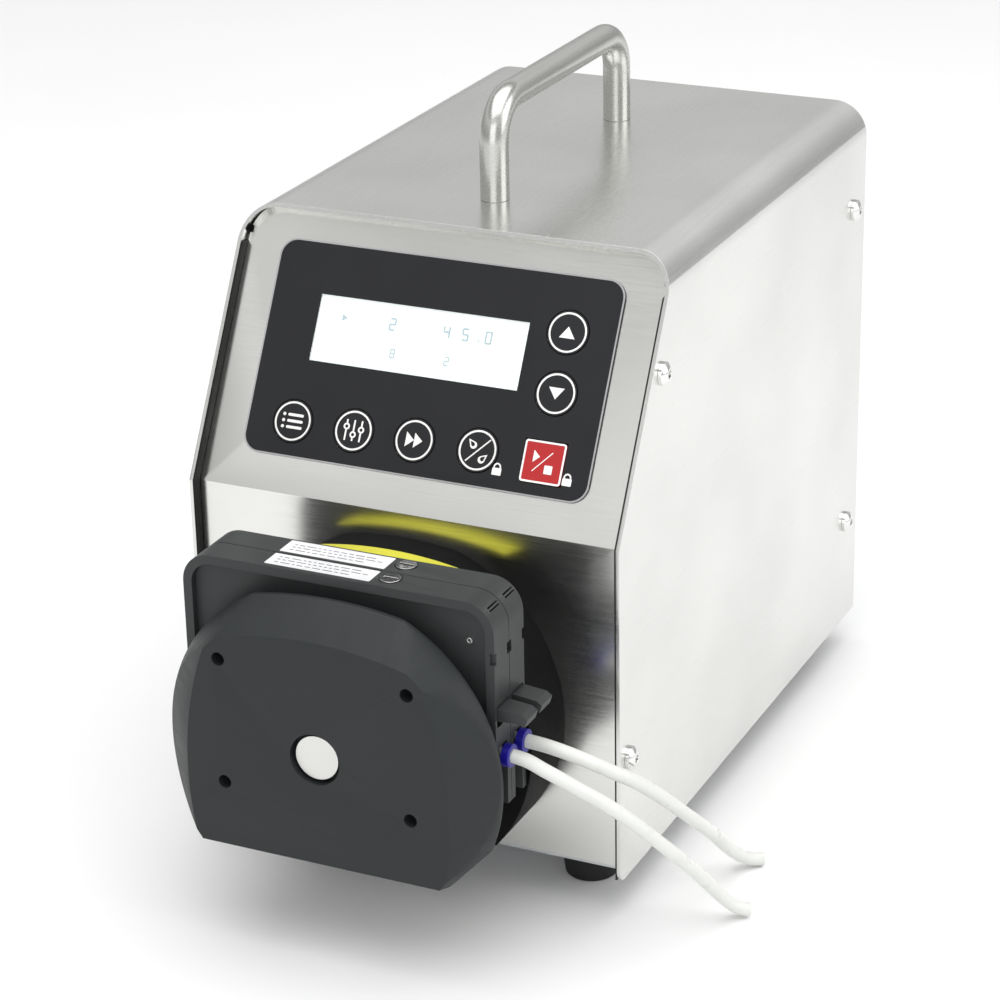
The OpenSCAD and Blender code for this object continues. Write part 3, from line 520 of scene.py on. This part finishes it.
def mark_sliders():
    """Three sliders, each with its knob."""
    filled, bands = [], []
    for x, knob in ((-2.6, 1.1), (0, -1.3), (2.6, 0.5)):
        filled.append(moved(rounded((-0.28, knob + 1.05), (0.28, 3.4), 0.2, 3), x, 0))
        filled.append(moved(rounded((-0.28, -3.4), (0.28, knob - 1.05), 0.2, 3), x, 0))
        bands.append((circle(1.1, (x, knob), 20), circle(0.55, (x, knob), 20)))
    return filled, bands


def mark_direction():
    """A slash between two drops."""
    filled = [stroke([(-3.5, -3.8), (3.9, 3.8)], 0.42)]
    bands = []
    for x, y, turn in ((-2.1, 1.9, 45), (2.3, -2.3, -45)):
        outer = moved(turned(drop(1.9), turn), x, y)
        inner = moved(turned(scaled(drop(1.9), 0.55), turn), x, y)
        bands.append((outer, inner))
    return filled, bands


def mark_start_stop():
    filled = [moved(triangle(3.8, 2.2, -90), -2.4, 1.6), stroke([(-3.2, -3.1), (2.8, 3.4)], 0.3),
              moved(rounded((-1.35, -1.35), (1.35, 1.35), 0.2, 3), 2.1, -2.1)]
    return filled, []


KEYS = {
    "key_up": ((43.7, 63.7), ([triangle(5.3, 3.7)], [])),
    "key_down": ((43.7, 44.4), ([triangle(5.3, 3.7, 180)], [])),
    "key_menu": ((-43.8, 23.3), mark_lines()),
    "key_mode": ((-22, 23.3), mark_sliders()),
    "key_fast": ((-0.6, 23.3), ([moved(triangle(4.8, 2.9, -90), x, 0) for x in (-1.45, 1.45)], [])),
    "key_direction": ((21.4, 23.3), mark_direction()),
    "key_start_stop": ((43.8, 22.7), mark_start_stop()),
}
KEY_R, KEY_LINE = 6.35, 0.6
START_HALF = (6.9, 6.6)


def make_key(node, at, marks):
    refined(node, KEY_RED if node == "key_start_stop" else KEY_DARK, 0.12)
    filled, bands = marks
    bm = bmesh.new()
    low, high = KEY_TOP - PRINT_T, KEY_TOP + PRINT_T
    if node == "key_start_stop":
        x, y = START_HALF
        add_band(bm, moved(rounded((-x, -y), (x, y), 0.9), *at),
                 moved(rounded((-x + KEY_LINE, -y + KEY_LINE), (x - KEY_LINE, y - KEY_LINE), 0.5), *at),
                 low, high, SLOPE)
    else:
        add_band(bm, circle(KEY_R, at, 64), circle(KEY_R - KEY_LINE, at, 64), low, high, SLOPE)
    for outline in filled:
        add_slab(bm, moved(outline, *at), low, high, SLOPE)
    for outer, inner in bands:
        add_band(bm, moved(outer, *at), moved(inner, *at), low, high, SLOPE)
    finish_mesh(node + "_print", bm, INK_WHITE, BODY_OF[node])


def make_padlock(bm, at):
    """A small padlock's body and shackle, printed beside a key that the lock holds."""
    low, high = OVERLAY_T - PRINT_T, OVERLAY_T + PRINT_T
    add_slab(bm, moved(rounded((-1.55, -1.75), (1.55, 0.55), 0.25, 3), *at), low, high, SLOPE)
    angles = [math.radians(a) for a in range(0, 181, 15)]
    arc = [(1.05 * math.cos(a), 0.75 + 1.15 * math.sin(a)) for a in angles]
    add_slab(bm, moved(stroke([(1.05, 0.45)] + arc + [(-1.05, 0.45)], 0.5), *at), low, high, SLOPE)


PADLOCKS = ((29.0, 18.3), (52.7, 18.4))
OVERLAY_HALF, OVERLAY_HIGH, OVERLAY_CORNER = 60.2, 82, 6
RIM_WIDTH, RIM_LOW, RIM_PROUD = 0.55, 0.3, 0.06


def make_keypad():
    refined("keypad_overlay", FILM, 0.12)
    bm = bmesh.new()
    for at in PADLOCKS:
        make_padlock(bm, at)
    finish_mesh("keypad_print", bm, INK_WHITE, "housing")
    # The film's edge stands a little proud as a narrow rim, coloured light grey as a painted highlight
    half, high, corner, rim = OVERLAY_HALF, OVERLAY_HIGH, OVERLAY_CORNER, RIM_WIDTH
    bm = bmesh.new()
    add_band(bm, rounded((-half, OVERLAY_LOW), (half, high), corner, 10),
             rounded((-half + rim, OVERLAY_LOW + rim), (half - rim, high - rim), corner - rim, 10),
             RIM_LOW, OVERLAY_T + RIM_PROUD, SLOPE)
    finish_mesh("keypad_rim", bm, PAINTED_RIM_HIGHLIGHT, "housing", bevel=0.08)
    for node, (at, marks) in KEYS.items():
        make_key(node, at, marks)


SEGMENTS = {"0": "abcdef", "2": "abged", "4": "fgbc", "5": "afgcd", "8": "abcdefg"}
BARS = {"a": ((0, 1), (1, 1)), "b": ((1, 1), (1, 0)), "c": ((1, 0), (1, -1)), "d": ((0, -1), (1, -1)),
        "e": ((0, 0), (0, -1)), "f": ((0, 1), (0, 0)), "g": ((0, 0), (1, 0))}


BAR_X, BAR_Y, BAR_WIDTH = 0.62, 0.6, 0.2  # a digit's proportions, times its size
TOP_LINE, LOW_LINE = 58.6, 49.4


def make_display():
    """The window, the screen, and made-up figures on it."""
    refined("display_window", DISPLAY_GLASS, 0.1)
    refined("lcd_module", DISPLAY_WHITE, 0.1)
    bm = bmesh.new()
    low, high = -0.02, 0.03

    def digit(shape, x, y, size):
        for bar in SEGMENTS[shape]:
            line = [(x + size * px * BAR_X, y + size * py * BAR_Y) for px, py in BARS[bar]]
            add_slab(bm, stroke(line, size * BAR_WIDTH), low, high, SLOPE)

    for shape, x in (("2", -17), ("4", 2), ("5", 8.5), ("0", 16.5)):
        digit(shape, x, TOP_LINE, 3.0)
    add_slab(bm, circle(0.35, (14.2, 57.2), 12), low, high, SLOPE)
    for shape, x in (("8", -15), ("2", 4)):
        digit(shape, x, LOW_LINE, 2.2)
    add_slab(bm, moved(triangle(2.4, 2.0, -90), -33, TOP_LINE), low, high, SLOPE)
    finish_mesh("display_marks", bm, DISPLAY_MARK, "housing")


make_painted_shade_strips()
make_keypad()
make_display()


# --- Pump head, in mm from the rotor's axis at the cover's front edge ---

shaft_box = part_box("rotor_shaft")
AXIS_Z = (shaft_box[0].z + shaft_box[1].z) / 2 / MM
SHELL_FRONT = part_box("top_cover")[0].y / MM

refined("head_front_cover", HEAD_GREY, 0.9, sharp=45, segments=4)
refined("head_rear_body", HEAD_BLACK, 0.6, segments=3)
refined("front_cover_screws", STEEL_DARK, 0.1)
for end in ("front", "rear"):
    refined("cartridge_" + end, CARTRIDGE, 0.35)
    refined("release_tab_" + end, CARTRIDGE, 0.3)
    refined("pressure_shoe_" + end, ACETAL, 0.2)
    refined("adjuster_" + end, STEEL_SCREW, 0.12)
    refined(f"rotor_{end}_disc", STEEL_SHAFT, 0.25)
refined("rotor_shaft", STEEL_SHAFT, 0.5, segments=3)
for i in range(1, 7):
    refined(f"roller_{i}", NYLON, 0.25)
refined("tube_stops", STOP_BLUE, 0.35)
dress(TUBING, "tube_runs")


PIN_X, PIN_UP = 44, 40
CARTRIDGE_FRONT, WEB_DEPTH = 43, 2.6
PIN_R, PIN_BORE_R, PIN_SUNK, PIN_PROUD = 1.0, 0.45, 0.1, 0.9


def make_cartridge_pin():
    """The end of a small hollow pin on the front cartridge's recessed web."""
    at = Vector((PIN_X, SHELL_FRONT - CARTRIDGE_FRONT + WEB_DEPTH, AXIS_Z + PIN_UP))
    web = plane(at, Vector((1, 0, 0)), Vector((0, 0, 1)))
    bm = bmesh.new()
    add_band(bm, circle(PIN_R, count=24), circle(PIN_BORE_R, count=24), -PIN_SUNK, PIN_PROUD, web)
    finish_mesh("cartridge_front_pin", bm, STEEL_SCREW, "cartridge_front", bevel=0.12)


LABEL_X = (-25, 11)
LABEL_Y = {"front": (-41.2, -33.4), "rear": (-31.4, -23.0)}
PRINT_ROWS = ((-22.5, 3, 2.0), (-22.5, 7.5, 4.0), (-22.5, 5, 5.8))  # from x, to x, distance up the label
DASH_HALF, DASH_GAP = 0.22, 0.7


def make_cartridge_label(end):
    """A white strip with rows of faint dashes in place of print."""
    y0, y1 = LABEL_Y[end]
    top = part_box("cartridge_" + end)[1].z / MM - AXIS_Z
    place = Matrix.Translation(mm(0, SHELL_FRONT, AXIS_Z)) @ Matrix.Scale(MM, 4)
    bm = bmesh.new()
    add_slab(bm, rounded((LABEL_X[0], y0), (LABEL_X[1], y1), 0.4, 3), top - 0.02, top + 0.1, place)
    finish_mesh(f"cartridge_{end}_label", bm, LABEL, "cartridge_" + end)
    bm = bmesh.new()
    for x0, x1, up in PRINT_ROWS:
        x = x0
        while x < x1:
            size = 2.2 + 1.3 * math.sin(7 * x + 3 * up)
            low, high = (x, y0 + up - DASH_HALF), (min(x + size, x1 + 1), y0 + up + DASH_HALF)
            add_slab(bm, rounded(low, high, 0.1, 2), top + 0.08, top + 0.12, place)
            x += size + DASH_GAP
    finish_mesh(f"cartridge_{end}_print", bm, LABEL_PRINT, "cartridge_" + end)


CROWN_R, CROWN_UP = 130, 48
STRIP_HALF, STRIP_Y, STRIP_LIFT = 30, (-20, -6.8), (-0.05, 0.12)
STRIP_STEPS = 24


def make_crown_label():
    """A yellow strip bent over the rear body's crown."""
    bm = bmesh.new()
    rows = []
    (front, back), (low, high) = STRIP_Y, STRIP_LIFT
    for i in range(STRIP_STEPS + 1):
        x = -STRIP_HALF + 2 * STRIP_HALF * i / STRIP_STEPS
        z = CROWN_UP - CROWN_R + math.sqrt(CROWN_R ** 2 - x ** 2)
        rows.append([bm.verts.new(mm(x, SHELL_FRONT + y, AXIS_Z + z + lift))
                     for y, lift in ((front, low), (front, high), (back, high), (back, low))])
    for first, second in zip(rows, rows[1:]):
        for a in range(4):
            b = (a + 1) % 4
            bm.faces.new((first[a], first[b], second[b], second[a]))
    bm.faces.new(rows[0])
    bm.faces.new(rows[-1])
    finish_mesh("head_crown_label", bm, LABEL_YELLOW, "housing")


make_cartridge_pin()
for end in ("front", "rear"):
    make_cartridge_label(end)
make_crown_label()


# --- Floor, light and backdrop ---

FLOOR_HALF, FLOOR_DROP = 6, 0.0002
# Backdrop, from straight down to overhead: pale near the horizon, a grey band above it, bright overhead
SKY = ((0.0, 0.45), (0.20, 0.55), (0.36, 0.66), (0.48, 1.0), (0.60, 0.46), (0.72, 0.40), (0.95, 1.0))
LIGHTS = (  # name, place, target, side in metres, watts
    ("top_light", (0.1, -0.2, 1.8), (0, 0, 0.1), 2.3, 28),
    ("right_light", (1.6, 0.3, 0.8), (0, 0.05, 0.1), 1.3, 9),
    ("front_light", (0.45, -1.95, 0.6), (0, -0.05, 0.05), 1.5, 9),
)


def make_floor():
    bm = bmesh.new()
    corners = [bm.verts.new((x * FLOOR_HALF, y * FLOOR_HALF, -FLOOR_DROP))
               for x, y in ((-1, -1), (1, -1), (1, 1), (-1, 1))]
    bm.faces.new(corners)
    mesh = bpy.data.meshes.new("floor")
    bm.to_mesh(mesh)
    bm.free()
    floor = bpy.data.objects.new("floor", mesh)
    bpy.context.scene.collection.objects.link(floor)
    paint = Finish("floor_paint", (0.86, 0.86, 0.86), 0.7)
    paint.vary_color(paint.noise(3), 0.99, 1.01)
    mesh.materials.append(paint.material)


def make_backdrop():
    world = bpy.data.worlds.new("studio")
    bpy.context.scene.world = world
    world.use_nodes = True
    nodes, links = world.node_tree.nodes, world.node_tree.links
    background = nodes["Background"]
    coordinates = nodes.new("ShaderNodeTexCoord")
    split = nodes.new("ShaderNodeSeparateXYZ")
    ramp = nodes.new("ShaderNodeValToRGB")
    links.new(coordinates.outputs["Generated"], split.inputs["Vector"])
    links.new(split.outputs["Z"], ramp.inputs["Fac"])
    links.new(ramp.outputs["Color"], background.inputs["Color"])
    elements = ramp.color_ramp.elements
    elements.remove(elements[1])
    elements[0].color = (*(SKY[0][1],) * 3, 1)
    for height, tone in SKY[1:]:
        elements.new(height).color = (tone, tone, tone, 1)
    background.inputs["Strength"].default_value = 1.0


def make_lights():
    for name, at, target, side, power in LIGHTS:
        data = bpy.data.lights.new(name, "AREA")
        data.size = side
        data.energy = power
        light = bpy.data.objects.new(name, data)
        bpy.context.scene.collection.objects.link(light)
        light.location = at
        light.rotation_euler = (Vector(target) - Vector(at)).to_track_quat("-Z", "Y").to_euler()


make_floor()
make_backdrop()
make_lights()
bpy.context.scene.view_settings.view_transform = "Standard"
